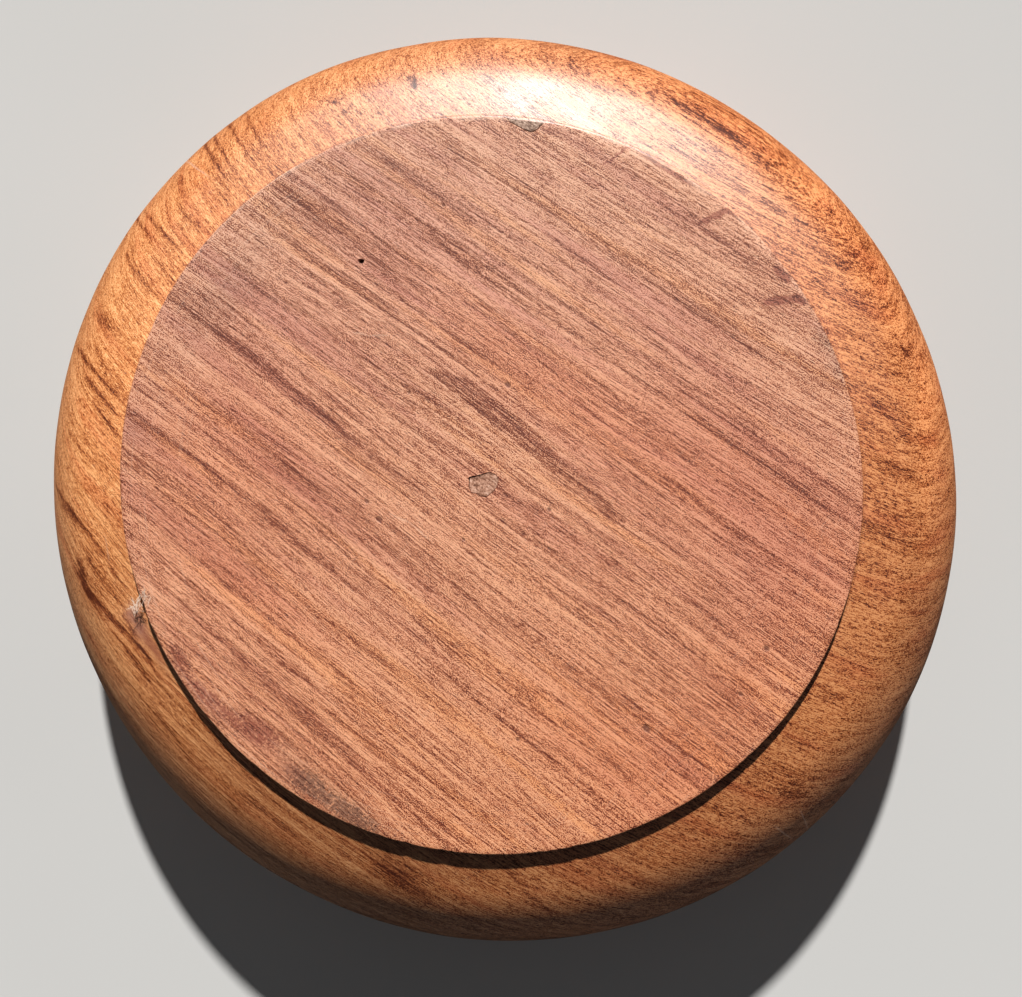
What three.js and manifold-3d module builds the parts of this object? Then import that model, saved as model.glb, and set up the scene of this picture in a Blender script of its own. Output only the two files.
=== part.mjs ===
// Turned hardwood bowl, resting upside down on its rim with its foot face uppermost.
//
// Units are millimetres and +Z is up. The origin is on the turning axis in the plane of the rim,
// so the rim rests on z = 0 and the foot face is the plane z = HEIGHT.
//
// Pieces:
//   bowl_body    one piece of timber: foot disc, rounded shoulder, side, rim and the hollow
//   centre_plug  small irregular plug that fills the lathe-centre hole in the middle of the foot
//   edge_filler  wedge of filler that makes good a chip in the edge of the foot disc

import * as THREE from 'three';
import * as BufferGeometryUtils from 'three/addons/utils/BufferGeometryUtils.js';
import Module from 'manifold-3d';

const { degToRad, smoothstep } = THREE.MathUtils;

// ---- overall form -----------------------------------------------------------------------------
// A "handle" is the offset of a curve's control point from the end of the curve.

const HEIGHT = 45.9; // rim plane to foot face
const WIDEST_RADIUS = 82.5; // outside radius at the widest circle
const WIDEST_Z = 23.0; // height of the widest circle
const SEGMENTS = 80; // facets round the axis

const FOOT_RADIUS = 62.2; // raised disc of the foot
const FOOT_STEP = 2.05; // height of the disc above the shoulder
const FOOT_EDGE = 0.25; // worn corner of the disc

// The shoulder leaves the foot as a nearly even slope, and turns over from the brow down to the
// widest circle.
const SHOULDER_TOP_Z = HEIGHT - FOOT_STEP;
const SHOULDER_START = degToRad(12.5); // slope where the shoulder leaves the foot
const BROW_RADIUS = 69.5; // circle where the shoulder starts to turn over
const BROW_Z = SHOULDER_TOP_Z - 2.0;
const BROW_SLOPE = degToRad(17.0);
const BROW_HANDLE = 2.5; // both handles between the foot and the brow, horizontal part
const SHOULDER_REACH = 6.5; // handle outwards from the brow, horizontal part
const SHOULDER_DROP = 8.5; // handle up from the widest circle
const SHOULDER_STEPS = 9; // widest circle to brow
const BROW_STEPS = 3; // brow to foot

const SIDE_HANDLE_TOP = 9.0; // down from the widest circle
const SIDE_HANDLE_RIM = { out: 3.4, up: 5.5 };
const SIDE_STEPS = 6;

const RIM_OUTER_RADIUS = 76.2; // outside of the rounded rim
const RIM_INNER_RADIUS = 69.8; // mouth of the hollow
const RIM_LAND = 2.4; // width of the flat ring that the bowl rests on
const RIM_ROUND = 1.6; // height over which the rim is rounded
const RIM_CORNER_INSET = 0.55; // middle point of the rounding, in from the rim's side
const RIM_CORNER_Z = RIM_ROUND * 0.35;

const HOLLOW_RADIUS = 73.6; // widest radius of the hollow
const HOLLOW_WIDEST_Z = 17.5;
const HOLLOW_HANDLE_UP = 8.5;
const HOLLOW_HANDLE_DOWN = 7.0;
const HOLLOW_STEPS = 8; // floor edge to widest
const FLOOR_RADIUS = 47.0; // where the wall of the hollow meets its floor
const FLOOR_EDGE_Z = 35.0;
const FLOOR_DISH = 0.8; // how much deeper the floor is at its centre
const FLOOR_HANDLE = { out: 17.0, down: 0.8 };
const MOUTH_HANDLE = { out: 1.6, up: 5.0 };
const MOUTH_STEPS = 5; // widest to mouth

// Timber shrinks unevenly as it dries, so the turned circles are slightly oval. Each list holds the
// relative change of radius as [cos, sin] pairs for one, two and three waves round the axis.
const FOOT_OVAL = [[0.0005, -0.0002], [0.0054, -0.0134], [0.0019, 0.0005]];
const SIDE_OVAL = [[-0.0003, -0.0001], [0.0007, -0.0135], [0.0024, -0.0014]];

// ---- details in the foot face -----------------------------------------------------------------

const GAP = 0.3; // clearance between an inserted piece and the timber round it
const OVERCUT = 1.0; // how far cutters stand above the foot face

// Plug outline in plan, [x, y], anticlockwise from its -X side.
const PLUG_OUTLINE = [
	[-2.06, 0.82], [-2.26, -0.53], [-1.88, -1.62], [-1.04, -1.73], [-0.37, -2.24], [0.64, -2.37],
	[1.82, -1.53], [2.49, -0.53], [2.74, 0.48], [2.32, 1.31], [1.31, 1.73], [-0.37, 1.23],
];
const PLUG_DEPTH = 6.0; // bottom of the plug below the foot face
const PLUG_SINK = 0.25; // top of the plug below the foot face

// Inner boundary of the chip in the foot edge, [x, y], towards +X.
const CHIP_INNER = [
	[3.4, 61.9], [4.56, 60.73], [5.74, 60.02], [7.09, 59.32], [8.27, 58.87], [9.28, 59.44],
	[10.12, 60.26], [10.7, 61.1],
];
const CHIP_DEPTH = 1.3;
const CHIP_OVERRUN = 64.0; // radius the cut runs out to, past the foot edge

const FILLER_SINK = 0.15; // top of the filler below the foot face
const FILLER_INSET = 0.2; // outer side of the filler, in from the foot edge
// Points [x, y] whose bearings from the axis place the filler's outer corners, towards -X.
const FILLER_OUTER = [[9.5, 60.6], [7.4, 60.9], [5.4, 61.2]];
// The same for the +X and -X neighbours that set the mitres at the ends of its inner side.
const FILLER_MITRE_ENDS = [[9.6, 60.6], [5.6, 61.2]];

const WORMHOLE = { x: -20.7, y: 37.6, radius: 0.5, depth: 4.0, sides: 10 }; // insect hole

// ---- materials --------------------------------------------------------------------------------

const timber = new THREE.MeshStandardMaterial({ color: 0xa4643c, roughness: 0.42, metalness: 0 });
const plugWood = new THREE.MeshStandardMaterial({ color: 0x9c7763, roughness: 0.75, metalness: 0 });
const putty = new THREE.MeshStandardMaterial({ color: 0x847364, roughness: 0.8, metalness: 0 });

// ---- solids and meshes ------------------------------------------------------------------------

const manifold = await Module();
manifold.setup();

// Position-only geometry with shared vertices and no collapsed triangles.
function weld(geometry) {
	const bare = geometry.clone();
	bare.deleteAttribute('normal');
	bare.deleteAttribute('uv');
	const merged = BufferGeometryUtils.mergeVertices(bare, 1e-4);
	const index = merged.index.array;
	const kept = [];
	for (let i = 0; i < index.length; i += 3) {
		const corners = [index[i], index[i + 1], index[i + 2]];
		if (new Set(corners).size === 3) kept.push(...corners);
	}
	merged.setIndex(kept);
	return merged;
}

function toSolid(geometry) {
	const welded = weld(geometry);
	return new manifold.Manifold(new manifold.Mesh({
		numProp: 3,
		vertProperties: new Float32Array(welded.attributes.position.array),
		triVerts: new Uint32Array(welded.index.array),
	}));
}

function toGeometry(solid) {
	const mesh = solid.getMesh();
	const positions = new Float32Array(mesh.vertProperties);
	const geometry = new THREE.BufferGeometry();
	geometry.setAttribute('position', new THREE.BufferAttribute(positions, 3));
	geometry.setIndex(new THREE.BufferAttribute(new Uint32Array(mesh.triVerts), 1));
	geometry.computeVertexNormals();
	return geometry;
}

// ---- plan outlines ----------------------------------------------------------------------------

// Upright prism over a plan outline.
function prism(outline, zLow, zHigh) {
	const shape = new THREE.Shape(outline.map(([x, y]) => new THREE.Vector2(x, y)));
	const geometry = new THREE.ExtrudeGeometry(shape, { depth: zHigh - zLow, bevelEnabled: false });
	return geometry.translate(0, 0, zLow);
}

// Unit normal on the right of the line from one point to the next: outwards if anticlockwise.
function edgeNormal(from, to) {
	return new THREE.Vector2(to[1] - from[1], from[0] - to[0]).normalize();
}

// Anticlockwise outline grown outwards by a distance; a negative distance shrinks it.
function grow(outline, distance) {
	const count = outline.length;
	return outline.map((point, i) => {
		const before = edgeNormal(outline[(i + count - 1) % count], point);
		const after = edgeNormal(point, outline[(i + 1) % count]);
		const mitre = before.clone().add(after).normalize();
		// The lower limit on the cosine keeps sharp corners from running out too far.
		const reach = distance / Math.max(0.5, mitre.dot(before));
		return [point[0] + mitre.x * reach, point[1] + mitre.y * reach];
	});
}

// ---- oval shrinkage ---------------------------------------------------------------------------

function waves(pairs, angle) {
	return pairs.reduce((sum, [cosPart, sinPart], i) => {
		const phase = (i + 1) * angle;
		return sum + cosPart * Math.cos(phase) + sinPart * Math.sin(phase);
	}, 0);
}

// Scale factor of the radius at a point of the turned form.
function ovalScale(radius, angle) {
	const blend = smoothstep(radius, FOOT_RADIUS, WIDEST_RADIUS);
	return 1 + (1 - blend) * waves(FOOT_OVAL, angle) + blend * waves(SIDE_OVAL, angle);
}

// ---- bowl body --------------------------------------------------------------------------------

// Points of a cubic curve after its start, which the profile already holds.
function curve(steps, ...controls) {
	const bezier = new THREE.CubicBezierCurve(...controls.map(([r, z]) => new THREE.Vector2(r, z)));
	return bezier.getPoints(steps).slice(1).map(({ x, y }) => [x, y]);
}

// Closed half section as [radius, z], from the middle of the hollow's floor, round the rim and
// up the outside to the middle of the foot face.
function bowlProfile() {
	const floor = [0, 0.5, 1].map((share) => [
		FLOOR_RADIUS * share, FLOOR_EDGE_Z + FLOOR_DISH * (1 - share ** 2),
	]);
	const floorEdge = [FLOOR_RADIUS, FLOOR_EDGE_Z];
	const hollowWidest = [HOLLOW_RADIUS, HOLLOW_WIDEST_Z];
	const mouth = [RIM_INNER_RADIUS, RIM_ROUND];
	const rimMiddle = (RIM_INNER_RADIUS + RIM_OUTER_RADIUS) / 2;
	const rimOutside = [RIM_OUTER_RADIUS, RIM_ROUND];
	const widest = [WIDEST_RADIUS, WIDEST_Z];
	const brow = [BROW_RADIUS, BROW_Z];
	const browFall = Math.tan(BROW_SLOPE);

	const points = [
		...floor,
		...curve(HOLLOW_STEPS, floorEdge,
			[FLOOR_RADIUS + FLOOR_HANDLE.out, FLOOR_EDGE_Z - FLOOR_HANDLE.down],
			[HOLLOW_RADIUS, HOLLOW_WIDEST_Z + HOLLOW_HANDLE_UP], hollowWidest),
		...curve(MOUTH_STEPS, hollowWidest,
			[HOLLOW_RADIUS, HOLLOW_WIDEST_Z - HOLLOW_HANDLE_DOWN],
			[RIM_INNER_RADIUS + MOUTH_HANDLE.out, RIM_ROUND + MOUTH_HANDLE.up], mouth),

		// rounded rim
		[RIM_INNER_RADIUS + RIM_CORNER_INSET, RIM_CORNER_Z],
		[rimMiddle - RIM_LAND / 2, 0],
		[rimMiddle + RIM_LAND / 2, 0],
		[RIM_OUTER_RADIUS - RIM_CORNER_INSET, RIM_CORNER_Z],
		rimOutside,

		// side and shoulder
		...curve(SIDE_STEPS, rimOutside,
			[RIM_OUTER_RADIUS + SIDE_HANDLE_RIM.out, RIM_ROUND + SIDE_HANDLE_RIM.up],
			[WIDEST_RADIUS, WIDEST_Z - SIDE_HANDLE_TOP], widest),
		...curve(SHOULDER_STEPS, widest,
			[WIDEST_RADIUS, WIDEST_Z + SHOULDER_DROP],
			[BROW_RADIUS + SHOULDER_REACH, BROW_Z - SHOULDER_REACH * browFall], brow),
		...curve(BROW_STEPS, brow,
			[BROW_RADIUS - BROW_HANDLE, BROW_Z + BROW_HANDLE * browFall],
			[FOOT_RADIUS + BROW_HANDLE, SHOULDER_TOP_Z - BROW_HANDLE * Math.tan(SHOULDER_START)],
			[FOOT_RADIUS, SHOULDER_TOP_Z]),

		// foot disc
		[FOOT_RADIUS, HEIGHT - FOOT_EDGE],
		[FOOT_RADIUS - FOOT_EDGE, HEIGHT],
		[0, HEIGHT],
	];
	return points.map(([r, z]) => new THREE.Vector2(r, z));
}

function turnedForm() {
	const geometry = new THREE.LatheGeometry(bowlProfile(), SEGMENTS);
	geometry.rotateX(Math.PI / 2); // the turning axis becomes +Z
	const position = geometry.attributes.position;
	for (let i = 0; i < position.count; i++) {
		const x = position.getX(i);
		const y = position.getY(i);
		const scale = ovalScale(Math.hypot(x, y), Math.atan2(y, x));
		position.setXY(i, x * scale, y * scale);
	}
	return geometry;
}

function plugRecess() {
	return prism(grow(PLUG_OUTLINE, GAP), HEIGHT - PLUG_DEPTH - GAP, HEIGHT + OVERCUT);
}

// The chip's ends are carried radially out past the foot edge.
function chipCut() {
	const outer = [CHIP_INNER.at(-1), CHIP_INNER[0]].map(([x, y]) => {
		const radius = Math.hypot(x, y);
		return [x * CHIP_OVERRUN / radius, y * CHIP_OVERRUN / radius];
	});
	return prism([...CHIP_INNER, ...outer], HEIGHT - CHIP_DEPTH, HEIGHT + OVERCUT);
}

function wormholeCut() {
	const { x, y, radius, depth, sides } = WORMHOLE;
	const geometry = new THREE.CylinderGeometry(radius, radius, depth + OVERCUT, sides);
	geometry.rotateX(Math.PI / 2);
	return geometry.translate(x, y, HEIGHT + (OVERCUT - depth) / 2);
}

function bowlBody() {
	const cutters = [plugRecess(), chipCut(), wormholeCut()];
	return toGeometry(cutters.reduce(
		(body, cutter) => body.subtract(toSolid(cutter)), toSolid(turnedForm())));
}

// ---- inserted pieces --------------------------------------------------------------------------

function centrePlug() {
	return weld(prism(PLUG_OUTLINE, HEIGHT - PLUG_DEPTH, HEIGHT - PLUG_SINK));
}

// Point just inside the oval foot edge, on the bearing of the given point.
function fillerEdgePoint([x, y]) {
	const angle = Math.atan2(y, x);
	const radius = FOOT_RADIUS * (1 + waves(FOOT_OVAL, angle)) - FILLER_INSET;
	return [radius * Math.cos(angle), radius * Math.sin(angle)];
}

// The wedge follows the chip with a clearance inside, and the oval edge of the foot outside.
function edgeFiller() {
	const chipSide = CHIP_INNER.slice(1, -1);
	const closed = [...chipSide, ...FILLER_MITRE_ENDS.map(fillerEdgePoint)];
	const inner = grow(closed, -GAP).slice(0, chipSide.length);
	const outline = [...inner, ...FILLER_OUTER.map(fillerEdgePoint)];
	return weld(prism(outline, HEIGHT - CHIP_DEPTH + GAP, HEIGHT - FILLER_SINK));
}

// ---- assembly ---------------------------------------------------------------------------------

function named(name, geometry, material) {
	const mesh = new THREE.Mesh(geometry, material);
	mesh.name = name;
	return mesh;
}

const group = new THREE.Group();
group.add(
	named('bowl_body', bowlBody(), timber),
	named('centre_plug', centrePlug(), plugWood),
	named('edge_filler', edgeFiller(), putty),
);

export default group;
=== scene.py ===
"""A turned wooden bowl lying upside down: rim on z = 0, foot disc facing up, axis on z.

A small plug sits in the middle of the foot and a wedge of filler in its +y edge. The foot face
is bare wood and the rest is oiled. Sizes are millimetres unless noted; meshes are in metres.
"""

import math
from types import SimpleNamespace

import bmesh
import bpy
import numpy as np
from mathutils import Matrix, Vector


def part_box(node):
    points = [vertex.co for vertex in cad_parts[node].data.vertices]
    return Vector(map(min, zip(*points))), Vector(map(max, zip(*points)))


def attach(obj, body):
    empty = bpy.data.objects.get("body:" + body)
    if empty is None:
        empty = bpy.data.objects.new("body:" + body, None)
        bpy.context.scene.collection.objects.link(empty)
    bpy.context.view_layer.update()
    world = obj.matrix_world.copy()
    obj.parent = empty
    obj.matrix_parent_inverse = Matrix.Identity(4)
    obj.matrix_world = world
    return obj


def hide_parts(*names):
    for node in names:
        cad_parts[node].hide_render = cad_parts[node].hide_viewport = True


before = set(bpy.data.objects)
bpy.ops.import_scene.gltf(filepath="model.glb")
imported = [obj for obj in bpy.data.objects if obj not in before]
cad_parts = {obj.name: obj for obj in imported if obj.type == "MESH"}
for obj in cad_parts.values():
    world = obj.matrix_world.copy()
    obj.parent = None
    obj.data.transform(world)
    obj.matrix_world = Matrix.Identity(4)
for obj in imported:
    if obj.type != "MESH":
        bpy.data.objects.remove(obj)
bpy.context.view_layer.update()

MM = 0.001

# ---------------------------------------------------------------------------------------------
# Sizes
# ---------------------------------------------------------------------------------------------
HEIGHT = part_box("bowl_body")[1].z / MM
PLUG_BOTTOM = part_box("centre_plug")[0].z / MM
FILLER_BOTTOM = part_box("edge_filler")[0].z / MM

WIDEST_RADIUS = 82.5
WIDEST_Z = 23.0
FOOT_RADIUS = 62.2
FOOT_STEP = 2.05
CORNER_ROUND = 0.26
CORNER_FILLET = 0.45
GROOVE_RADIUS = FOOT_RADIUS + 0.8  # shallow groove round the foot
GROOVE_DEPTH = 0.035
BROW_RADIUS = 69.5  # where the shoulder turns down
BROW_FALL = 2.0
BROW_SLOPE = math.radians(17.0)
SHOULDER_START = math.radians(12.5)
SHOULDER_REACH = 6.5
SHOULDER_DROP = 8.5
RIM_OUTER_RADIUS = 76.2
RIM_INNER_RADIUS = 69.8
RIM_LAND = 2.4
RIM_ROUND = 1.6
HOLLOW_RADIUS = 73.6
HOLLOW_WIDEST_Z = 17.5
FLOOR_RADIUS = 47.0
FLOOR_EDGE_Z = 35.0
FLOOR_CENTRE_Z = 35.8
SEGMENTS = 624

# Out-of-round shares: (cosine, sine) of one, two and three waves in a turn.
FOOT_OVAL = [(0.0005, -0.0002), (0.0054, -0.0134), (0.0019, 0.0005)]
SIDE_OVAL = [(-0.0003, -0.0001), (0.0007, -0.0135), (0.0024, -0.0014)]

BRUISE_ANGLE = math.atan2(-20.8, -58.6)  # a bruise in the foot edge with torn fibres

PLUG_RECESS_DEPTH = 6.2
CHIP_DEPTH = 1.3
HOLE_DEPTH = 4.0
HOLE_CENTRE = (-20.7, 37.6)

# Plan outline of the plug, anticlockwise: (x, y).
PLUG_OUTLINE = [
    (-2.06, 0.82), (-2.26, -0.53), (-1.88, -1.62), (-1.04, -1.73), (-0.37, -2.24), (0.64, -2.37),
    (1.82, -1.53), (2.49, -0.53), (2.74, 0.48), (2.32, 1.31), (1.31, 1.73), (-0.37, 1.23),
]
# Inner edge of the chip in the foot: (x, y).
CHIP_INNER = [
    (3.4, 61.9), (4.56, 60.73), (5.74, 60.02), (7.09, 59.32), (8.27, 58.87), (9.28, 59.44),
    (10.12, 60.26), (10.7, 61.1),
]

# Grain: the fibres lie in the plane of the foot, at this angle from +x.
GRAIN_COS = math.cos(math.radians(-36.0))
GRAIN_SIN = math.sin(math.radians(-36.0))
LAYER_SLOPE = math.tan(math.radians(40.0))  # slope of the growth layers about the fibres
LAYER_FAN = -0.0009  # narrowing of the layers per millimetre along the fibres


# ---------------------------------------------------------------------------------------------
# Smooth repeatable noise for the geometry
# ---------------------------------------------------------------------------------------------
def cell_value(ix, iy, seed):
    mixed = (ix * 374761393 + iy * 668265263 + seed * 982451653) & 0xFFFFFFFF
    mixed = ((mixed ^ (mixed >> 13)) * 1274126177) & 0xFFFFFFFF
    return ((mixed ^ (mixed >> 16)) & 0xFFFF) / 65535.0 * 2 - 1


def plane_noise(x, y, seed):
    """Smooth value noise in about -1..1 at numpy points x, y."""
    x, y = np.asarray(x, float), np.asarray(y, float)
    ix, iy = np.floor(x).astype(np.int64), np.floor(y).astype(np.int64)
    fx, fy = x - ix, y - iy
    fx, fy = fx * fx * (3 - 2 * fx), fy * fy * (3 - 2 * fy)
    near = cell_value(ix, iy, seed) * (1 - fx) + cell_value(ix + 1, iy, seed) * fx
    far = cell_value(ix, iy + 1, seed) * (1 - fx) + cell_value(ix + 1, iy + 1, seed) * fx
    return near * (1 - fy) + far * fy


def ring_noise(theta, count, seed):
    """Noise round the axis that closes on itself: count cells in a full turn."""
    turn = theta / (2 * np.pi) * count
    cell = np.floor(turn).astype(np.int64)
    share = turn - cell
    share = share * share * (3 - 2 * share)
    zero = np.zeros_like(cell)
    return (cell_value(cell % count, zero, seed) * (1 - share)
            + cell_value((cell + 1) % count, zero, seed) * share)


def smooth_step(start, end, x):
    share = np.clip((np.asarray(x, float) - start) / (end - start), 0, 1)
    return share * share * (3 - 2 * share)


# ---------------------------------------------------------------------------------------------
# Mesh helpers
# ---------------------------------------------------------------------------------------------
def to_mesh(bm, name):
    mesh = bpy.data.meshes.new(name)
    bm.to_mesh(mesh)
    bm.free()
    return mesh


def add_object(name, mesh):
    ob = bpy.data.objects.new(name, mesh)
    bpy.context.scene.collection.objects.link(ob)
    return ob


def smooth_shade(mesh, degrees):
    """Smooth faces with sharp edges where the surface turns by more than the angle."""
    bm = bmesh.new()
    bm.from_mesh(mesh)
    limit = math.radians(degrees)
    for face in bm.faces:
        face.smooth = True
    for edge in bm.edges:
        edge.smooth = len(edge.link_faces) == 2 and edge.calc_face_angle(0.0) < limit
    bm.to_mesh(mesh)
    bm.free()


def join_rings(bm, lower, upper):
    count = len(lower)
    for i in range(count):
        j = (i + 1) % count
        bm.faces.new([lower[i], lower[j], upper[j], upper[i]])


def cap_with_tip(bm, ring, tip):
    for i in range(len(ring)):
        bm.faces.new([ring[i], ring[(i + 1) % len(ring)], tip])


def points_mm(mesh):
    flat = np.zeros(len(mesh.vertices) * 3, np.float32)
    mesh.vertices.foreach_get("co", flat)
    return flat.reshape(-1, 3).astype(float) / MM


def put(mesh, name, values):
    attribute = mesh.attributes.new(name, "FLOAT", "POINT")
    attribute.data.foreach_set("value", np.asarray(values, np.float32))


# ---------------------------------------------------------------------------------------------
# Profile curves: each leaves out its first point, which ends the curve before it
# ---------------------------------------------------------------------------------------------
def bezier(handles, count):
    t = np.linspace(0, 1, count + 1)[1:, None]
    a, b, c, d = [np.array(handle, float) for handle in handles]
    return (1 - t) ** 3 * a + 3 * (1 - t) ** 2 * t * b + 3 * (1 - t) * t * t * c + t**3 * d


def line(start, end, count):
    t = np.linspace(0, 1, count + 1)[1:, None]
    return (1 - t) * np.array(start, float) + t * np.array(end, float)


def arc(centre_r, centre_z, radius, start_deg, end_deg, count):
    angles = np.radians(np.linspace(start_deg, end_deg, count + 1)[1:])
    return np.c_[centre_r + radius * np.cos(angles), centre_z + radius * np.sin(angles)]


def shoulder_profile(under):
    """From beside the foot, over the groove and the brow, out to the widest point."""
    brow = (BROW_RADIUS, under - BROW_FALL)
    handle = 2.5
    first_count = 14
    curve = np.vstack([
        bezier([
            (FOOT_RADIUS, under),
            (FOOT_RADIUS + handle, under - handle * math.tan(SHOULDER_START)),
            (brow[0] - handle, brow[1] + handle * math.tan(BROW_SLOPE)),
            brow,
        ], first_count),
        bezier([
            brow,
            (brow[0] + SHOULDER_REACH, brow[1] - SHOULDER_REACH * math.tan(BROW_SLOPE)),
            (WIDEST_RADIUS, WIDEST_Z + SHOULDER_DROP),
            (WIDEST_RADIUS, WIDEST_Z),
        ], 26),
    ])
    groove_r = GROOVE_RADIUS + np.linspace(-0.36, 0.36, 7)
    offset = groove_r - groove_r.mean()
    groove_z = np.interp(groove_r, curve[:first_count, 0], curve[:first_count, 1])
    groove_z = groove_z - GROOVE_DEPTH * np.exp(-((offset / 0.13) ** 2))
    # the groove's points take the place of the curve's own points near it
    clear_of_fillet = curve[:, 0] > FOOT_RADIUS + CORNER_FILLET + 0.25
    clear_of_groove = np.abs(curve[:, 0] - groove_r.mean()) > 0.45
    points = np.vstack([curve[clear_of_fillet & clear_of_groove], np.c_[groove_r, groove_z]])
    split = int(np.argmax(curve[:, 0] > BROW_RADIUS))
    inner = points[points[:, 0] <= curve[split, 0]]
    return np.vstack([inner[np.argsort(inner[:, 0])], curve[split + 1:]])


def body_profile():
    """(radius, z) from the middle of the foot, down the outside, round the rim, up the hollow."""
    under = HEIGHT - FOOT_STEP
    corner_z = HEIGHT - 0.02
    rim_mid = (RIM_INNER_RADIUS + RIM_OUTER_RADIUS) / 2
    land_outer = rim_mid + RIM_LAND / 2
    land_inner = rim_mid - RIM_LAND / 2
    return np.vstack([
        np.array([[1.2, HEIGHT]]),
        line((1.2, HEIGHT), (FOOT_RADIUS - 3.0, HEIGHT), 30),
        line((FOOT_RADIUS - 3.0, HEIGHT), (FOOT_RADIUS - CORNER_ROUND, corner_z), 4),
        arc(FOOT_RADIUS - CORNER_ROUND, corner_z - CORNER_ROUND, CORNER_ROUND, 90, 0, 5),
        line((FOOT_RADIUS, corner_z - CORNER_ROUND), (FOOT_RADIUS, under + CORNER_FILLET), 3),
        arc(FOOT_RADIUS + CORNER_FILLET, under + CORNER_FILLET - 0.079, CORNER_FILLET,
            180, 259, 5),
        shoulder_profile(under),
        # side, from the widest point down to the rim
        bezier([
            (WIDEST_RADIUS, WIDEST_Z),
            (WIDEST_RADIUS, WIDEST_Z - 9),
            (RIM_OUTER_RADIUS + 3.4, RIM_ROUND + 5.5),
            (RIM_OUTER_RADIUS, RIM_ROUND),
        ], 18),
        # rim: outer round, flat land, inner round
        bezier([
            (RIM_OUTER_RADIUS, RIM_ROUND),
            (RIM_OUTER_RADIUS - 0.5, RIM_ROUND * 0.45),
            (land_outer + 0.9, 0),
            (land_outer, 0),
        ], 6),
        line((land_outer, 0), (land_inner, 0), 3),
        bezier([
            (land_inner, 0),
            (land_inner - 0.9, 0),
            (RIM_INNER_RADIUS + 0.5, RIM_ROUND * 0.45),
            (RIM_INNER_RADIUS, RIM_ROUND),
        ], 6),
        # hollow, out to its widest and in to its floor
        bezier([
            (RIM_INNER_RADIUS, RIM_ROUND),
            (RIM_INNER_RADIUS + 1.6, RIM_ROUND + 5),
            (HOLLOW_RADIUS, HOLLOW_WIDEST_Z - 7),
            (HOLLOW_RADIUS, HOLLOW_WIDEST_Z),
        ], 9),
        bezier([
            (HOLLOW_RADIUS, HOLLOW_WIDEST_Z),
            (HOLLOW_RADIUS, HOLLOW_WIDEST_Z + 8.5),
            (FLOOR_RADIUS + 17, FLOOR_EDGE_Z - 0.8),
            (FLOOR_RADIUS, FLOOR_EDGE_Z),
        ], 14),
        line((FLOOR_RADIUS, FLOOR_EDGE_Z), (2.0, FLOOR_CENTRE_Z), 9),
    ])


# ---------------------------------------------------------------------------------------------
# The turned body
# ---------------------------------------------------------------------------------------------
def oval(radius, theta):
    """Factor on the radius: the foot's out-of-round blending into the side's."""
    def waves(shares):
        return sum(c * np.cos((i + 1) * theta) + s * np.sin((i + 1) * theta)
                   for i, (c, s) in enumerate(shares))

    outward = smooth_step(FOOT_RADIUS, WIDEST_RADIUS, radius)
    return 1 + (1 - outward) * waves(FOOT_OVAL) + outward * waves(SIDE_OVAL)


def wear_foot_corner(radius, z, theta):
    """Nicks, wear and a bruise in the corner of the foot disc."""
    disc = ((z > HEIGHT - FOOT_STEP + 0.02) & (radius > FOOT_RADIUS - 3.2)
            & (radius < FOOT_RADIUS + 0.01))
    near = smooth_step(FOOT_RADIUS - 1.6, FOOT_RADIUS - 0.1, radius) * disc
    wobble = 0.03 * ring_noise(theta, 60, 3) + 0.03 * ring_noise(theta, 220, 4)
    nick = (np.clip(ring_noise(theta, 120, 5) - 0.8, 0, 1) * 0.6
            + np.clip(ring_noise(theta, 300, 6) - 0.82, 0, 1) * 0.5)
    fall = 0.03 + 0.10 * np.clip(ring_noise(theta, 70, 8), 0, 1) + 0.5 * nick
    radius = radius + near * (wobble - nick)[None, :]
    z = z - near * fall[None, :] * (z > HEIGHT - 0.5)

    away = np.angle(np.exp(1j * (theta - BRUISE_ANGLE))) * FOOT_RADIUS
    bruise = np.exp(-(away**2))[None, :]
    edge = (FOOT_RADIUS - 2.2, FOOT_RADIUS)
    radius = radius - smooth_step(*edge, radius) * disc * bruise * 0.22
    z = z - smooth_step(*edge, radius) * (z > HEIGHT - 0.6) * disc * bruise * 0.15
    return radius, z


def hand_finish(x, y, z, theta):
    """Soft unevenness of the outside, as a radial offset."""
    return (
        0.10 * plane_noise(x / 17 + 3, y / 17 + z / 13, 11)
        + 0.05 * plane_noise(x / 7, y / 7 + z / 6 + 9, 12)
        + 0.018 * plane_noise(z / 1.4, theta * 0 + 0.5, 13)
    )


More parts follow.
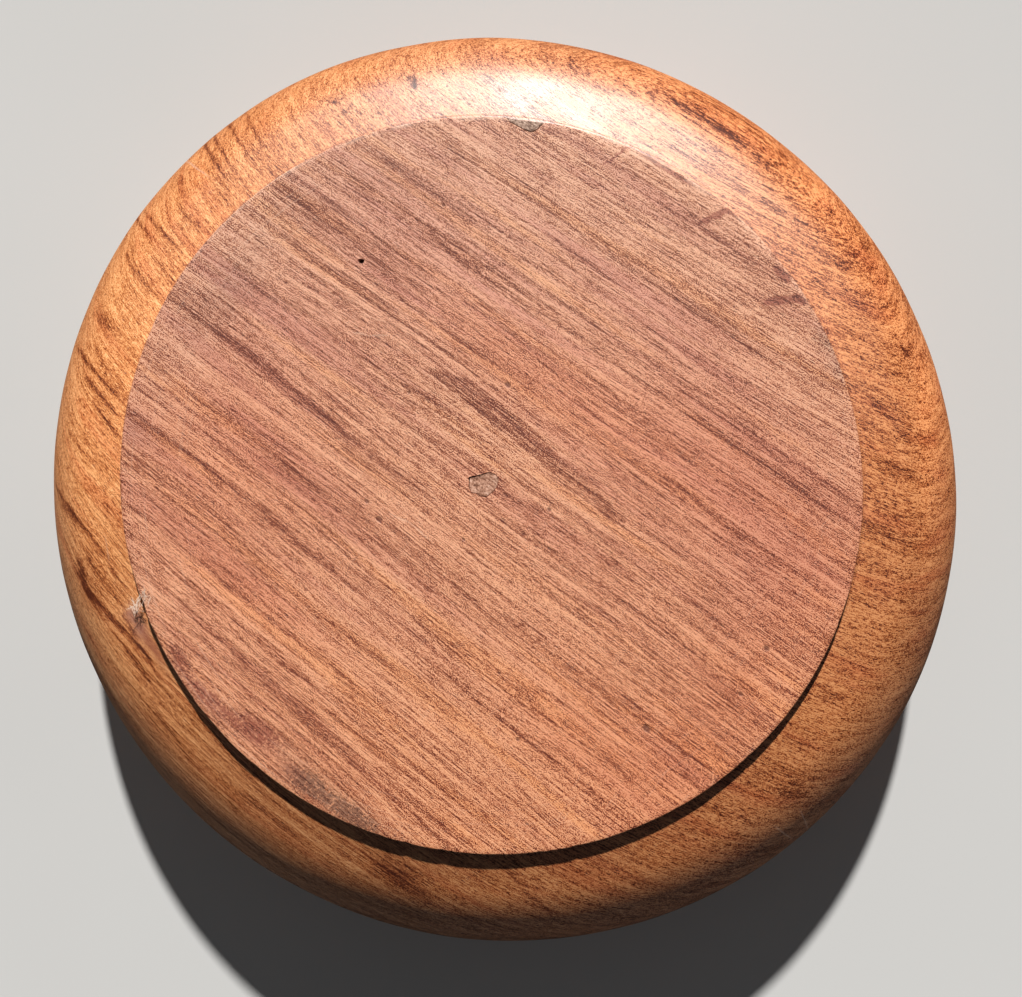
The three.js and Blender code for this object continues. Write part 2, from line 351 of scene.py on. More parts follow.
def build_body():
    profile = body_profile()
    rows = len(profile)
    theta = np.arange(SEGMENTS) * 2 * np.pi / SEGMENTS
    radius = np.repeat(profile[:, 0:1], SEGMENTS, 1)
    z = np.repeat(profile[:, 1:2], SEGMENTS, 1)
    angle = np.repeat(theta[None, :], rows, 0)

    radius, z = wear_foot_corner(radius, z, theta)
    outside = smooth_step(FOOT_RADIUS + 0.5, FOOT_RADIUS + 4, radius)
    stretch = oval(radius, angle)
    x = radius * stretch * np.cos(angle)
    y = radius * stretch * np.sin(angle)
    soft = hand_finish(x, y, z, angle) * outside * smooth_step(2.2, 5.0, z)
    x += soft * np.cos(angle)
    y += soft * np.sin(angle)
    face = (radius < FOOT_RADIUS - 1.0) & (z > HEIGHT - 0.5)
    z = z - np.where(face, 0.02 + 0.018 * plane_noise(x / 9, y / 9, 21), 0)

    foot_centre = [[0, 0, (HEIGHT - 0.03) * MM]]
    floor_centre = [[0, 0, FLOOR_CENTRE_Z * MM]]
    verts = np.stack([x, y, z], -1).reshape(-1, 3) * MM
    verts = np.vstack([verts, foot_centre, floor_centre])
    row = np.arange(rows - 1)[:, None] * SEGMENTS
    here = np.arange(SEGMENTS)[None, :]
    after = (here + 1) % SEGMENTS
    quads = np.stack(
        [row + here, row + SEGMENTS + here, row + SEGMENTS + after, row + after], -1)
    faces = quads.reshape(-1, 4).tolist()
    foot_index, floor_index = rows * SEGMENTS, rows * SEGMENTS + 1
    last_row = (rows - 1) * SEGMENTS
    for i in range(SEGMENTS):
        j = (i + 1) % SEGMENTS
        faces.append([foot_index, i, j])
        faces.append([floor_index, last_row + j, last_row + i])
    mesh = bpy.data.meshes.new("turned_bowl")
    mesh.from_pydata(verts.tolist(), [], faces)
    mesh.update()
    return add_object("turned_bowl", mesh)


# ---------------------------------------------------------------------------------------------
# Plan outlines
# ---------------------------------------------------------------------------------------------
def grow(outline, amounts):
    """Anticlockwise outline grown outwards by one amount per point."""
    grown = []
    for i, amount in enumerate(amounts):
        point, before = np.array(outline[i]), np.array(outline[i - 1])
        edge_in, edge_out = point - before, np.array(outline[(i + 1) % len(outline)]) - point
        normal_in = np.array([edge_in[1], -edge_in[0]]) / np.hypot(*edge_in)
        normal_out = np.array([edge_out[1], -edge_out[0]]) / np.hypot(*edge_out)
        both = normal_in + normal_out
        middle = both / max(np.hypot(*both), 1e-6)
        grown.append(tuple(point + middle * amount / max(0.5, float(middle @ normal_in))))
    return grown


def refine(outline, step, jitter, seed):
    """Subdivides an outline into short steps with a little sideways jitter."""
    fine = []
    for i in range(len(outline)):
        start = np.array(outline[i])
        edge = np.array(outline[(i + 1) % len(outline)]) - start
        length = np.hypot(*edge)
        count = max(1, int(round(length / step)))
        normal = np.array([edge[1], -edge[0]]) / max(length, 1e-9)
        for k in range(count):
            point = start + edge * k / count
            shift = plane_noise(point[0] * 3.1 + seed, point[1] * 3.1, seed) * jitter
            fine.append(tuple(point + normal * shift * (1 if k else 0.4)))
    return fine


def recess_outline(plug_line):
    """Plug outline with its gap: tight on the +x side, open on the +y side towards -x."""
    gaps = [
        0.025
        + 0.15 * float(smooth_step(0.75, 1.0, (y * 0.93 - x * 0.36) / 1.35))
        + 0.04 * float(smooth_step(-1.0, -1.8, x))
        + 0.03 * float(smooth_step(-1.5, -2.1, y))
        for x, y in plug_line
    ]
    return grow(plug_line, gaps)


def chip_outline():
    """The chip's inner edge, closed beyond the edge of the foot."""
    beyond = 64.0
    ends = [np.array(CHIP_INNER[0]), np.array(CHIP_INNER[-1])]
    start, end = [tuple(point / np.hypot(*point) * beyond) for point in ends]
    return refine(CHIP_INNER, 0.6, 0.07, 37)[:-1] + [CHIP_INNER[-1], end, start]


def hole_outline():
    """Small, slightly irregular round hole."""
    outline = []
    for a in np.arange(18) * 2 * math.pi / 18:
        radius_x = 0.5 + 0.09 * math.sin(3 * a + 1) + 0.05 * math.sin(5 * a)
        radius_y = 0.47 + 0.08 * math.cos(2 * a) + 0.05 * math.sin(4 * a)
        outline.append((HOLE_CENTRE[0] + radius_x * math.cos(a),
                        HOLE_CENTRE[1] + radius_y * math.sin(a)))
    return outline


# ---------------------------------------------------------------------------------------------
# Cuts in the foot
# ---------------------------------------------------------------------------------------------
def prism_mesh(outline, bottom, top):
    bm = bmesh.new()
    low = [bm.verts.new((x * MM, y * MM, bottom * MM)) for x, y in outline]
    high = [bm.verts.new((x * MM, y * MM, top * MM)) for x, y in outline]
    bm.faces.new(list(reversed(low)))
    bm.faces.new(high)
    join_rings(bm, low, high)
    bmesh.ops.recalc_face_normals(bm, faces=bm.faces)
    return to_mesh(bm, "cut")


def cut_foot(body, plug_line):
    cutters = bmesh.new()
    for outline, depth in [
        (recess_outline(plug_line), PLUG_RECESS_DEPTH),
        (chip_outline(), CHIP_DEPTH),
        (hole_outline(), HOLE_DEPTH),
    ]:
        piece = prism_mesh(outline, HEIGHT - depth, HEIGHT + 2)
        cutters.from_mesh(piece)
        bpy.data.meshes.remove(piece)
    cutter = add_object("cutters", to_mesh(cutters, "cutters"))
    modifier = body.modifiers.new("cuts", "BOOLEAN")
    modifier.operation = "DIFFERENCE"
    modifier.solver = "EXACT"
    modifier.object = cutter
    bpy.context.view_layer.update()
    depsgraph = bpy.context.evaluated_depsgraph_get()
    cut_mesh = bpy.data.meshes.new_from_object(body.evaluated_get(depsgraph),
                                               depsgraph=depsgraph)
    body.modifiers.clear()
    body.data = cut_mesh
    cut_mesh.name = "turned_bowl"
    bpy.data.objects.remove(cutter)


# ---------------------------------------------------------------------------------------------
# Torn fibres at the bruise in the foot edge
# ---------------------------------------------------------------------------------------------
# Tufts: (centre, count, seed, length, width, height of the roots, spread of the roots,
# spread of the direction in radians)
TUFTS = [
    ((-58.7, -20.3), 18, 5, 1.7, 0.10, HEIGHT - 0.03, 0.55, 1.0),
    ((-57.6, -19.3), 8, 9, 1.6, 0.08, HEIGHT - 0.03, 0.6, 0.9),
    ((-59.6, -20.9), 10, 6, 1.3, 0.10, HEIGHT - 0.7, 0.4, 0.6),
    ((-60.6, -21.6), 8, 7, 1.2, 0.09, HEIGHT - FOOT_STEP - 0.1, 0.45, 0.8),
]
FIBRE_DIRECTION = math.radians(112)


def add_tuft(bm, centre, count, seed, length, width, root_z, spread, fan):
    """Flat-lying tapered splinters, each a closed solid whose root is sunk in the wood."""
    rng = np.random.default_rng(seed)
    for _ in range(count):
        heading = (FIBRE_DIRECTION + rng.normal(0, fan)
                   + (math.pi if rng.random() < 0.5 else 0))
        root = np.array(centre) + rng.normal(0, spread, 2)
        tilt = rng.uniform(0.02, 0.22)
        long = length * rng.uniform(0.4, 1.25)
        wide = width * rng.uniform(0.6, 1.4)
        forward = np.array([math.cos(heading) * math.cos(tilt),
                            math.sin(heading) * math.cos(tilt), math.sin(tilt)])
        side = np.array([-math.sin(heading), math.cos(heading), 0.0])
        up = np.cross(forward, side) * -1
        base = np.array([root[0], root[1], root_z - rng.uniform(0.02, 0.12)])
        bend = rng.uniform(-0.35, 0.35)
        rings = []
        for share in (0.0, 0.35, 0.7):
            middle = base + forward * long * share + side * bend * long * share * share
            across = wide * (1 - 0.55 * share)
            rings.append([
                bm.verts.new(tuple(
                    (middle + side * across * 0.5 * sx + up * across * 0.3 * sz) * MM))
                for sx, sz in ((-1, -1), (1, -1), (1, 1), (-1, 1))
            ])
        tip = bm.verts.new(tuple((base + forward * long + side * bend * long) * MM))
        bm.faces.new(list(reversed(rings[0])))
        for lower, upper in zip(rings, rings[1:]):
            join_rings(bm, lower, upper)
        cap_with_tip(bm, rings[-1], tip)


def add_torn_fibres(mesh):
    """Adds the tufts and returns the index of their first vertex."""
    bm = bmesh.new()
    bm.from_mesh(mesh)
    first = len(bm.verts)
    for tuft in TUFTS:
        add_tuft(bm, *tuft)
    # vertices made since the mesh was read have no index inside the old range
    added = [face for face in bm.faces if not 0 <= face.verts[0].index < first]
    bmesh.ops.recalc_face_normals(bm, faces=added)
    bm.to_mesh(mesh)
    bm.free()
    return first


def put_body_masks(mesh, first_torn):
    """Surface masks worked out at the vertices from their place on the bowl."""
    points = points_mm(mesh)
    x, y, z = points.T
    angle = np.arctan2(y, x)
    rel = np.hypot(x, y) / oval(np.hypot(x, y), angle)
    # bare wood on the foot face and the corner of the disc, oiled elsewhere
    bare = (z > HEIGHT - 0.75) * smooth_step(FOOT_RADIUS + 0.4, FOOT_RADIUS - 0.25, rel)
    sunk = (z < HEIGHT - 0.3) & (rel < FOOT_RADIUS - 0.8) & (z > HEIGHT - 7)
    within = (rel < HOLLOW_RADIUS + 0.6) & (z < FLOOR_CENTRE_Z + 0.8)
    hollow = within & ~((rel > RIM_INNER_RADIUS + 2) & (z < 3))
    wall_zone = (z < HEIGHT - 0.35) & (z > HEIGHT - FOOT_STEP - 0.2)
    put(mesh, "bare", bare)
    put(mesh, "recess", sunk & ~hollow)
    put(mesh, "hollow", hollow)
    put(mesh, "torn", np.arange(len(points)) >= first_torn)
    put(mesh, "wall", wall_zone * np.exp(-(((rel - FOOT_RADIUS) / 0.6) ** 2)))
    put(mesh, "edge",
        np.exp(-(((rel - FOOT_RADIUS + 0.13) / 0.26) ** 2)) * (z > HEIGHT - 0.6))
    put(mesh, "rel", rel)
    put(mesh, "angle", angle)


# ---------------------------------------------------------------------------------------------
# Shader building
# ---------------------------------------------------------------------------------------------
class Value:
    """A shader output. Each operator or method adds one node, tinted() adds two."""

    def __init__(self, tree, socket):
        self.tree = tree
        self.socket = socket

    def __add__(self, other):
        return self.tree.math("ADD", self, other)

    def __radd__(self, other):
        return self.tree.math("ADD", other, self)

    def __sub__(self, other):
        return self.tree.math("SUBTRACT", self, other)

    def __rsub__(self, other):
        return self.tree.math("SUBTRACT", other, self)

    def __mul__(self, other):
        return self.tree.math("MULTIPLY", self, other)

    def times_plus(self, factor, addend):
        return self.tree.math("MULTIPLY_ADD", self, factor, addend)

    def at_least(self, other):
        return self.tree.math("MAXIMUM", self, other)

    def at_most(self, other):
        return self.tree.math("MINIMUM", self, other)

    def rise(self, start, end):
        """Smooth step from 0 at start to 1 at end."""
        return self.tree.add(
            "ShaderNodeMapRange", {"Value": self, "From Min": start, "From Max": end},
            "Result", interpolation_type="SMOOTHSTEP", clamp=True)

    def fit(self, start, end, to=(0.0, 1.0), clamp=True):
        """Straight map of start..end to another range."""
        return self.tree.add(
            "ShaderNodeMapRange",
            {"Value": self, "From Min": start, "From Max": end, "To Min": to[0], "To Max": to[1]},
            "Result", interpolation_type="LINEAR", clamp=clamp)

    def centred(self, half):
        """Noise of 0..1 spread over -half..half."""
        return self.fit(0, 1, to=(-half, half), clamp=False)

    def between(self, at_zero, at_one):
        """Number that goes from at_zero to at_one as this mask goes from 0 to 1."""
        return self.tree.add(
            "ShaderNodeMix", {0: self, 2: at_zero, 3: at_one}, data_type="FLOAT")

    def scaled(self, scale):
        return self.tree.add("ShaderNodeVectorMath", {0: self, "Scale": scale}, "Vector",
                             operation="SCALE")

    def moved(self, offset):
        return self.tree.add("ShaderNodeVectorMath", {0: self, 1: offset}, "Vector",
                             operation="ADD")

    def blend(self, share, colour):
        return self.tree.mix_colour(share, self, colour)

    def multiplied(self, tone):
        return self.tree.mix_colour(1.0, self, tone, "MULTIPLY")

    def tinted(self, share, tone):
        """This colour multiplied by the tone, as far as the share goes."""
        return self.blend(share, self.multiplied(tone))


class Tree:
    """A node tree whose methods add nodes and return their outputs."""

    def __init__(self, node_tree):
        self.node_tree = node_tree

    def feed(self, socket, value):
        if isinstance(value, Value):
            self.node_tree.links.new(value.socket, socket)
        else:
            socket.default_value = value

    def add(self, kind, inputs=(), output=0, **settings):
        node = self.node_tree.nodes.new(kind)
        for name, setting in settings.items():
            setattr(node, name, setting)
        for key, value in dict(inputs).items():
            self.feed(node.inputs[key], value)
        return Value(self, node.outputs[output])

    def math(self, operation, *terms):
        return self.add("ShaderNodeMath", enumerate(terms), operation=operation)

    def xyz(self, x, y, z):
        return self.add("ShaderNodeCombineXYZ", enumerate((x, y, z)))

    def split(self, vector):
        node = self.add("ShaderNodeSeparateXYZ", {0: vector}).socket.node
        return [Value(self, socket) for socket in node.outputs]

    def noise(self, vector, detail, rough, scale=1.0):
        return self.add(
            "ShaderNodeTexNoise",
            {"Vector": vector, "Scale": scale, "Detail": detail, "Roughness": rough}, "Fac")

    def stretched_noise(self, *axes, detail, rough):
        """Noise over two or three (value, cells per unit) axes."""
        parts = [value * density for value, density in axes]
        return self.noise(self.xyz(*(parts + [0.0])[:3]), detail, rough)

    def dots(self, vector, scale, pick):
        """Small round dots in the cells whose random value is above pick."""
        distance = self.add(
            "ShaderNodeTexVoronoi", {"Vector": vector, "Scale": scale, "Randomness": 1.0},
            "Distance", feature="F1")
        colour = Value(self, distance.socket.node.outputs["Color"])
        return distance.rise(0.26, 0.12) * self.split(colour)[0].rise(pick, 0.8)

    def bell(self, offset):
        """Bell curve exp(-offset squared)."""
        return self.math("POWER", INVERSE_E, offset * offset)

    def ramp(self, factor, stops):
        result = self.add("ShaderNodeValToRGB", {0: factor}, "Color")
        ramp = result.socket.node.color_ramp
        while len(ramp.elements) > 1:
            ramp.elements.remove(ramp.elements[-1])
        ramp.elements[0].position = stops[0][0]
        ramp.elements[0].color = (*stops[0][1], 1)
        for position, colour in stops[1:]:
            ramp.elements.new(position).color = (*colour, 1)
        return result

    def mix_colour(self, share, first, second, blend="MIX"):
        first, second = [colour if isinstance(colour, Value) else (*colour, 1)
                         for colour in (first, second)]
        return self.add("ShaderNodeMix", {0: share, 6: first, 7: second}, 2,
                        data_type="RGBA", blend_type=blend)

    def mask(self, name):
        return self.add("ShaderNodeAttribute", output="Fac", attribute_name=name)

    def place(self):
        """Place on the object in millimetres."""
        return self.add("ShaderNodeTexCoord", output="Object").scaled(1 / MM)

    def surface(self, inputs, relief=None):
        """Principled surface; relief is its height in millimetres."""
        inputs = dict(inputs)
        if relief is not None:
            inputs["Normal"] = self.add(
                "ShaderNodeBump", {"Distance": MM, "Height": relief}, "Normal")
        output = self.node_tree.nodes.new("ShaderNodeOutputMaterial")
        self.feed(output.inputs[0], self.add("ShaderNodeBsdfPrincipled", inputs))


INVERSE_E = 0.3679
LIT = 1.22  # how much brighter than its reflectance a level surface shows under the lights


def new_material(name):
    material = bpy.data.materials.new(name)
    material.use_nodes = True
    material.node_tree.nodes.clear()
    return material, Tree(material.node_tree)


def paint(*display):
    """Reflectance that shows as an 8-bit display colour under the lights."""
    shares = [value / 255 for value in display]
    return tuple(
        (share / 12.92 if share < 0.04045 else ((share + 0.055) / 1.055) ** 2.4) / LIT
        for share in shares)


def paint_stops(stops):
    return [(position, paint(*display)) for position, display in stops]


def grain_axes(x, y):
    """Distance along the fibres and across them, in the plane of the foot."""
    return x * GRAIN_COS + y * GRAIN_SIN, x * -GRAIN_SIN + y * GRAIN_COS


# ---------------------------------------------------------------------------------------------
# Soft marks, each added to a running total by a node group
# ---------------------------------------------------------------------------------------------
def soft_group(name, flat_ended):
    """Adds k * exp(-(n^2 + s^2)), or s^4 for a line that is even along its length.

    s = a*sa + b*sb + s0 runs along the mark and n = a*na + b*nb + n0 across it.
    """
    group = bpy.data.node_groups.new(name, "ShaderNodeTree")
    for key in ("total", "a", "b", "sa", "sb", "s0", "na", "nb", "n0", "k"):
        group.interface.new_socket(name=key, in_out="INPUT", socket_type="NodeSocketFloat")
    group.interface.new_socket(name="total", in_out="OUTPUT", socket_type="NodeSocketFloat")
    tree = Tree(group)
    entry = group.nodes.new("NodeGroupInput")
    result = group.nodes.new("NodeGroupOutput")
    (total, first, second, along_first, along_second, along_offset,
     across_first, across_second, across_offset, strength) = [
        Value(tree, socket) for socket in entry.outputs[:10]]
    along = first.times_plus(along_first, second.times_plus(along_second, along_offset))
    across = first.times_plus(across_first, second.times_plus(across_second, across_offset))
    power = along * along
    if flat_ended:
        power = power * power
    falloff = tree.math("POWER", INVERSE_E, across.times_plus(across, power))
    tree.feed(result.inputs[0], falloff.times_plus(strength, total))
    return group


SOFT_LINE = soft_group("soft_line", True)
SOFT_SPOT = soft_group("soft_spot", False)


def add_mark(group, total, plane, along, across, strength):
    """along and across each hold the two factors on the plane's values and an offset."""
    values = (total, *plane, *along, *across, strength)
    return plane[0].tree.add("ShaderNodeGroup", enumerate(values), node_tree=group)


def soft_spots(plane, spots):
    """Sum of spots (a, b, half size a, half size b, tilt in degrees, strength)."""
    total = 0.0
    for a, b, half_a, half_b, tilt, strength in spots:
        cos, sin = math.cos(math.radians(tilt)), math.sin(math.radians(tilt))
        total = add_mark(
            SOFT_SPOT, total, plane,
            (cos / half_a, sin / half_a, -(a * cos + b * sin) / half_a),
            (-sin / half_b, cos / half_b, -(-a * sin + b * cos) / half_b), strength)
    return total


def soft_lines(plane, lines):
    """Sum of lines (start a, start b, end a, end b, half width, strength)."""
    total = 0.0
    for a0, b0, a1, b1, width, strength in lines:
        length = math.hypot(a1 - a0, b1 - b0)
        run_a, run_b = (a1 - a0) / length, (b1 - b0) / length
        half = length / 2
        mid_a, mid_b = (a0 + a1) / 2, (b0 + b1) / 2
        total = add_mark(
            SOFT_LINE, total, plane,
            (run_a / half, run_b / half, -(mid_a * run_a + mid_b * run_b) / half),
            (-run_b / width, run_a / width, -(-mid_a * run_b + mid_b * run_a) / width),
            strength)
    return total


# ---------------------------------------------------------------------------------------------
# Tables of the timber
# ---------------------------------------------------------------------------------------------
# Noise bands that make up the figure: (length along the fibres, width across the layers,
# depth, detail, roughness, offset), then the weight of the band.
FIGURE_BANDS = {
    "broad": ((170, 8.0, 26, 1.0, 0.5, 3.1), 0.18),
    "medium": ((95, 2.2, 9, 2.0, 0.6, 7.7), 0.31),
    "narrow": ((55, 0.80, 3.2, 2.0, 0.65, 1.3), 0.44),
    "fibre": ((16, 0.30, 0.9, 2.0, 0.65, 5.9), 0.60),
    "fleck": ((0.95, 0.15, 0.20, 1.5, 0.65, 9.2), 0.85),
    "hair": ((5.0, 0.17, 0.30, 1.0, 0.6, 13.7), 0.74),
}
HUE_BAND = (60, 3.6, 11, 2.0, 0.55, 17.3)
SEAM_BAND = (120, 1.5, 7, 1.0, 0.5, 23.0)
SEAM_BREAKS = (34, 9, 14, 1.0, 0.5, 31.0)

# Wood colours from dark to light figure: (figure value, display colour).
BARE_TONES = [
    (0.02, (104, 41, 21)), (0.16, (142, 70, 40)), (0.32, (174, 99, 65)), (0.50, (203, 130, 94)),
    (0.66, (225, 153, 115)), (0.82, (240, 171, 131)), (0.98, (250, 188, 150)),
]
OILED_TONES = [
    (0.02, (76, 26, 6)), (0.16, (114, 46, 14)), (0.32, (150, 73, 28)), (0.50, (181, 99, 47)),
    (0.66, (201, 119, 63)), (0.82, (216, 137, 79)), (0.98, (230, 154, 96)),
]

# Dark streaks of the foot: (across the grain, middle along it, half length, half width, strength)
STREAKS = [
    (43.7, 13, 17, 0.75, 0.22), (29.8, 38, 20, 0.9, 0.24), (29.2, -34, 22, 0.7, 0.17),
    (28.8, -10, 30, 0.8, 0.15), (17.8, 34, 22, 0.8, 0.24), (17.5, -20, 20, 0.7, 0.22),
    (18.8, -44, 16, 2.2, 0.17), (14.0, -38, 22, 0.6, 0.18), (6.0, -36, 26, 0.8, 0.16),
    (1.0, 36, 12, 0.8, 0.14), (-5.9, -46, 18, 0.55, 0.17), (-6.9, -26, 18, 0.7, 0.13),
    (-8.0, 24, 12, 0.8, 0.19), (-9.0, -16, 12, 1.6, 0.16), (-16.9, -36, 18, 0.8, 0.22),
    (-18.3, -12, 22, 0.7, 0.20), (-21.4, -28, 18, 1.0, 0.14), (-25.7, -28, 22, 0.6, 0.20),
    (-27.0, -4, 18, 0.6, 0.20), (-29.4, 14, 26, 0.6, 0.15), (-30.0, 28, 15, 0.7, 0.21),
    (-34.4, 2, 15, 0.7, 0.19), (-38.8, -36, 14, 0.6, 0.16), (-48.0, -12, 12, 0.6, 0.18),
    (-50.8, 14, 22, 0.9, 0.17), (37.2, 22, 28, 0.5, 0.10), (34.4, -38, 14, 1.0, 0.12),
    (52.0, -22, 16, 0.8, 0.12), (23.1, -40, 12, 0.5, 0.14), (16.0, 28, 20, 0.6, 0.10),
    (-1.8, 31, 14, 0.6, 0.13), (-22.6, -4, 17, 0.8, 0.14), (-40.0, 38, 9, 0.9, 0.13),
    (20.2, -50, 10, 0.6, 0.17), (38.8, 32, 16, 0.9, 0.09), (-45.2, 22, 24, 0.5, 0.10),
]

# Tinted patches of the foot:
# (along, across, half length, half width, tilt in degrees, strength)
PURPLE_PATCHES = [
    (-36, 26, 20, 13, 0, 0.60), (-48, -2, 14, 9, 0, 0.40), (-30, -17, 18, 4, 0, 0.45),
    (10, 38, 24, 7, 0, 0.40), (-54, -27.6, 4.5, 3.2, 0, 1.0), (48, 12, 10, 12, 0, 0.45),
    (52, -18, 8, 9, 0, 0.5), (24, -2, 20, 3, 0, 0.25), (38, 24, 22, 13, 0, 0.75),
    (-44, -28, 6, 0.9, 0, 0.8),
]
RED_PATCHES = [
    (-40, -22, 20, 18, 0, 0.9), (-4, 20, 20, 5.5, 0, 1.0), (30, 24, 26, 12, 0, 0.7),
    (40, -24, 16, 8, 0, 0.6), (-20, -38, 18, 5, 0, 0.6), (56, 0, 9, 34, 0, 0.55),
]
GREY_PATCHES = [
    (33, 52.2, 3.6, 1.6, -20, 0.9), (37.2, 49.6, 2.2, 1.4, -20, 0.8), (-55, 0, 4, 14, 0, 0.45),
    (-54, -27.6, 3.5, 2.6, 0, 0.5),
]
BLOTCHES = [
    (-25.8, 54.3, 2.4, 0.9, 10, 0.45), (-52.0, 35.3, 1.7, 0.8, 40, 0.5),
    (-47.9, 39.2, 1.5, 0.8, 40, 0.5),
]
STAINS = [
    (-24.2, -54.6, 3.0, 1.1, -20, 1.2), (-16.5, -56.8, 3.8, 1.2, -6, 1.0),
    (-6.4, -56.2, 4.2, 1.6, 6, 1.35), (5.4, -58.4, 3.8, 1.5, 5, 1.3),
    (14.5, -58.0, 5.0, 1.4, 5, 1.6), (-6, -57, 24, 2.0, 2, 0.30),
]
# Broad lighter or darker areas of the foot, same columns; strength is added to the figure.
AREAS = [
    (-12, 53, 22, 7, 0, 0.060), (-4, 37, 15, 6, 0, 0.030), (-7, -7, 9, 6, 0, 0.095),
    (12, -38, 24, 7, 0, 0.050), (20, -53, 15, 6, 0, 0.075), (-8, -53, 10, 5, 0, 0.045),
    (2, 21, 20, 4.5, 0, -0.075), (-52, 6, 8, 8, 0, 0.050), (-38, 10, 10, 9, 0, 0.040),
    (46, -37, 8, 7, 0, 0.040), (36, 52, 7, 6, 0, -0.060), (26, -8, 16, 8, 0, 0.040),
    (56, 2, 7, 22, 0, -0.060),
]
# Brown knots and specks of the foot: (along, across, radius, strength)
SPECKS = [
    (-6.2, 15.8, 0.55, 0.8), (54.0, 5.6, 0.6, 0.7), (46.0, -16.8, 0.7, 0.9),
    (-10.5, -15.2, 0.6, 0.9), (-14.0, -14.0, 0.45, 0.8), (11.7, 3.0, 0.4, 0.7),
    (55.0, -3.0, 0.5, 0.7), (-19.0, 5.0, 0.35, 0.7), (3.0, -9.5, 0.4, 0.6),
    (30.0, -31.0, 0.5, 0.6), (21.0, -24.0, 0.4, 0.6), (-33.0, 34.0, 0.4, 0.7),
    (38.0, 24.0, 0.45, 0.6),
]
# Reddish-brown smears and scratches of the foot:
# (start along, start across, end along, end across, half width, strength)
SMEARS = [
    (-15.0, 54.8, -13.0, 60.4, 0.34, 0.95), (-11.6, 60.0, 0.2, 60.6, 0.45, 0.75),
    (3.6, 55.6, 6.8, 61.0, 0.60, 0.95), (6.2, 60.6, 8.4, 60.6, 0.50, 0.80),
    (18.0, 57.4, 22.0, 56.7, 0.75, 0.85), (19.8, 51.0, 24.8, 55.8, 0.80, 0.85),
    (24.0, 55.4, 26.0, 55.0, 0.60, 0.70),
]
FOOT_SCRATCHES = [
    (-33.0, 7.6, -30.2, 8.9, 0.13, 0.50), (-30.2, 8.9, -27.6, 10.8, 0.12, 0.50),
    (-9.6, -13.4, -6.2, -12.6, 0.12, 0.50), (-6.2, -12.6, -1.4, -12.9, 0.12, 0.50),
    (-33.5, 11.0, -29.0, 12.4, 0.10, 0.30),
]

# Dark lines and pale scratches of the shoulder in plan: (x0, y0, x1, y1, half width, strength)
SHOULDER_LINES = [
    (-78.7, 0.1, -69.1, -8.9, 0.50, 0.34), (-69.1, -8.9, -62.2, -18.4, 0.45, 0.26),
    (-72.2, -13.0, -71.0, -17.7, 0.8, 0.32), (-71.0, -17.7, -66.8, -22.3, 0.7, 0.34),
    (-66.8, -22.3, -61.8, -26.0, 0.8, 0.30), (-61.8, -26.0, -58.1, -30.8, 0.6, 0.26),
    (-70.6, -11.9, -67.2, -16.4, 0.45, 0.22), (-67.2, -16.4, -62.6, -21.2, 0.45, 0.22),
    (-77.3, -2.7, -72.7, -6.6, 0.6, 0.22), (-54.2, 64.8, -43.4, 50.9, 0.45, 0.30),
    (-52.7, 66.7, -42.0, 51.9, 0.40, 0.26), (-50.2, 68.9, -38.6, 53.9, 0.50, 0.22),
    (-44.9, 67.9, -37.9, 58.0, 0.40, 0.20), (-67.8, 51.4, -56.1, 40.8, 0.45, 0.24),
    (-62.2, 49.3, -51.9, 39.5, 0.40, 0.20), (-64.9, 41.3, -58.4, 33.4, 0.55, 0.26),
    (-75.1, 25.7, -63.0, 14.2, 0.50, 0.34), (-71.8, 20.0, -63.7, 11.7, 0.45, 0.30),
    (-69.7, 30.9, -65.2, 25.9, 0.90, 0.24), (-68.3, 13.8, -63.3, 7.6, 0.45, 0.30),
    (-74.5, 9.7, -67.1, 2.4, 0.45, 0.20), (-61.9, 67.8, -59.4, 63.6, 0.55, 0.22),
    (-13.3, 71.0, -12.2, 68.2, 0.45, 0.55), (30.7, 66.7, 45.9, 56.8, 0.80, 0.36),
    (45.9, 56.8, 49.2, 52.3, 0.60, 0.26), (69.2, 25.1, 71.9, 21.0, 0.40, 0.45),
    (63.5, 15.4, 72.2, 5.6, 0.55, 0.26), (63.4, 5.5, 72.2, 0.6, 0.90, 0.20),
    (63.4, -7.8, 72.2, -10.3, 0.45, 0.30), (62.5, -16.0, 70.6, -20.3, 0.45, 0.22),
    (62.9, 12.0, 70.5, 4.0, 0.40, 0.18), (63.2, 1.6, 71.6, -3.4, 0.45, 0.18),
    (62.6, -11.5, 68.0, -14.6, 0.45, 0.16), (-63.0, -22.0, -60.2, -27.2, 0.34, 0.26),
    (-60.2, -27.2, -56.0, -33.6, 0.34, 0.24), (-58.2, -38.3, -51.0, -47.7, 0.60, 0.18),
    (-48.8, -40.6, -38.3, -52.4, 0.50, 0.16), (-63.5, -27.1, -56.1, -37.3, 0.60, 0.16),
    (-42.8, -52.6, -31.5, -61.0, 0.60, 0.16), (3.7, -65.0, 12.7, -74.9, 0.55, 0.26),
    (50.2, -50.6, 53.6, -53.4, 1.20, 0.20),
]
PALE_SCRATCHES = [
    (-57.6, 60.7, -48.7, 53.8, 0.16, 0.50), (53.7, -55.7, 56.2, -60.8, 0.12, 0.55),
    (49.3, -58.0, 52.9, -61.5, 0.12, 0.50), (-66.2, -9.0, -65.4, -13.5, 0.10, 0.35),
]
